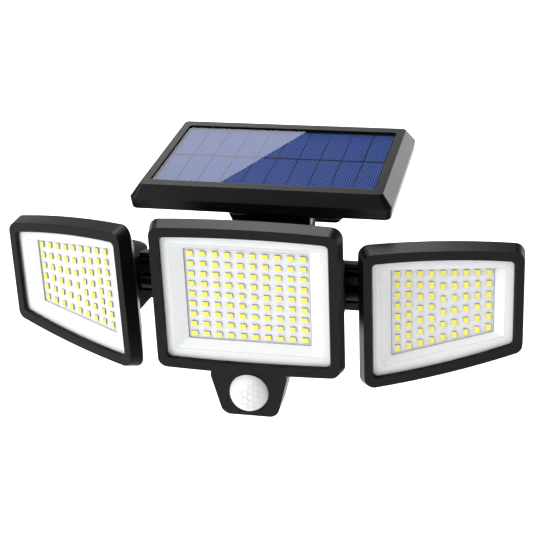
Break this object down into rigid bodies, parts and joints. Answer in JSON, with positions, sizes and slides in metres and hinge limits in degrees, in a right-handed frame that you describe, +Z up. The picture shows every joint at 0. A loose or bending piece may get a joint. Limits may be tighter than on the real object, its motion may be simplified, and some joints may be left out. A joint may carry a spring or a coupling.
{
  "type": "motion sensor security light",
  "caption": "Solar security light: tilting solar panel on a wall bracket, centre lamp head with motion sensor dome, and side lamp heads on swivelling arms.",
  "frame": {"origin": "centre of the wall plate's back face, in the wall's plane", "axes": "+Z up, +Y into the wall, -Y towards the front, +X to the right seen from the front"},
  "size_m": [0.3046, 0.1555, 0.1464],
  "materials": {
    "black_shell": "fine moulded texture, satin",
    "panel_bezel": "satin",
    "clear_cover": "clear, glossy",
    "white_reflector": "white, satin",
    "circuit_board": "white solder resist",
    "led": "yellow phosphor in a white package",
    "solar_cell": "blue cell with pale fingers",
    "panel_glass": "clear, glossy",
    "backsheet": "black film",
    "white_lens": "milky, faceted",
    "green_board": "green solder resist",
    "steel": "zinc plated",
    "sensor_can": "nickel plated can on a board",
    "battery_wrap": "shrink sleeve",
    "button_rubber": "matte",
    "bracket_black": "satin"
  },
  "bodies": {
    "bracket": {"wall_plate": "bracket_black", "bracket_arm": "bracket_black", "bracket_screws": "steel", "panel_hinge_bolt": "steel", "panel_hinge_nut": "steel", "head_hinge_bolt": "steel", "head_hinge_nut": "steel"},
    "panel": {"panel_frame": "panel_bezel", "panel_glass": "panel_glass", "solar_cells": "solar_cell", "panel_backsheet": "backsheet", "panel_rear_cover": "panel_bezel", "panel_screws": "steel", "panel_hinge_lug": "panel_bezel", "battery_box": "panel_bezel", "battery_cell": "battery_wrap", "battery_contacts": "steel"},
    "centre_head": {"centre_cover": "clear_cover", "centre_reflector": "white_reflector", "centre_led_board": "circuit_board", "centre_leds": "led", "centre_frame": "black_shell", "centre_rear_shell": "black_shell", "centre_screws": "steel", "pir_lens": "white_lens", "pir_sensor": "sensor_can", "sensor_rear_cover": "black_shell", "left_arm": "black_shell", "right_arm": "black_shell", "left_pivot_cap": "black_shell", "right_pivot_cap": "black_shell", "pan_bolts": "steel", "pan_nuts": "steel", "rear_body": "black_shell", "rear_body_cover": "black_shell", "rear_body_screws": "steel", "control_board": "green_board"},
    "mode_button": {"mode_button": "button_rubber"},
    "left_knuckle": {"left_knuckle": "black_shell", "left_tilt_pin": "steel"},
    "left_cradle": {"left_cradle": "black_shell"},
    "left_head": {"left_flange_screw": "steel", "left_cover": "clear_cover", "left_reflector": "white_reflector", "left_led_board": "circuit_board", "left_leds": "led", "left_frame": "black_shell", "left_rear_shell": "black_shell", "left_screws": "steel"},
    "right_knuckle": {"right_knuckle": "black_shell", "right_tilt_pin": "steel"},
    "right_cradle": {"right_cradle": "black_shell"},
    "right_head": {"right_flange_screw": "steel", "right_cover": "clear_cover", "right_reflector": "white_reflector", "right_led_board": "circuit_board", "right_leds": "led", "right_frame": "black_shell", "right_rear_shell": "black_shell", "right_screws": "steel"}
  },
  "joints": [
    {"name": "panel_tilt", "type": "hinge", "parent": "bracket", "child": "panel", "pos_m": [0, -0.07, -0.003], "axis": [1, 0, 0], "range_deg": [-8, 15]},
    {"name": "head_tilt", "type": "hinge", "parent": "bracket", "child": "centre_head", "pos_m": [0, -0.0545, -0.0222], "axis": [1, 0, 0], "range_deg": [-10, 25]},
    {"name": "mode_button_press", "type": "slide", "parent": "centre_head", "child": "mode_button", "axis": [0, -0.1826, 0.9832], "range_m": [0, 0.0012], "stiffness_N_per_m": 400, "springref_m": -0.0005},
    {"name": "left_pan", "type": "hinge", "parent": "centre_head", "child": "left_knuckle", "pos_m": [-0.093, -0.07345, -0.03792], "axis": [0, 0.1826, -0.9832], "range_deg": [-18, 37]},
    {"name": "left_tilt", "type": "hinge", "parent": "left_knuckle", "child": "left_cradle", "pos_m": [-0.09871, -0.08655, -0.04036], "axis": [0.9191, -0.3873, -0.0719], "range_deg": [-9, 27]},
    {"name": "left_twist", "type": "hinge", "parent": "left_cradle", "child": "left_head", "pos_m": [-0.09871, -0.08655, -0.04036], "axis": [-0.3912, -0.9189, -0.0502], "range_deg": [-19, 5]},
    {"name": "right_pan", "type": "hinge", "parent": "centre_head", "child": "right_knuckle", "pos_m": [0.093, -0.07345, -0.03792], "axis": [0, -0.1826, 0.9832], "range_deg": [-5, 50]},
    {"name": "right_tilt", "type": "hinge", "parent": "right_knuckle", "child": "right_cradle", "pos_m": [0.09567, -0.08746, -0.04053], "axis": [0.9829, 0.1809, 0.0336], "range_deg": [-11, 25]},
    {"name": "right_twist", "type": "hinge", "parent": "right_cradle", "child": "right_head", "pos_m": [0.09567, -0.08746, -0.04053], "axis": [-0.1834, 0.9779, 0.1], "range_deg": [-12, 12]}
  ]
}
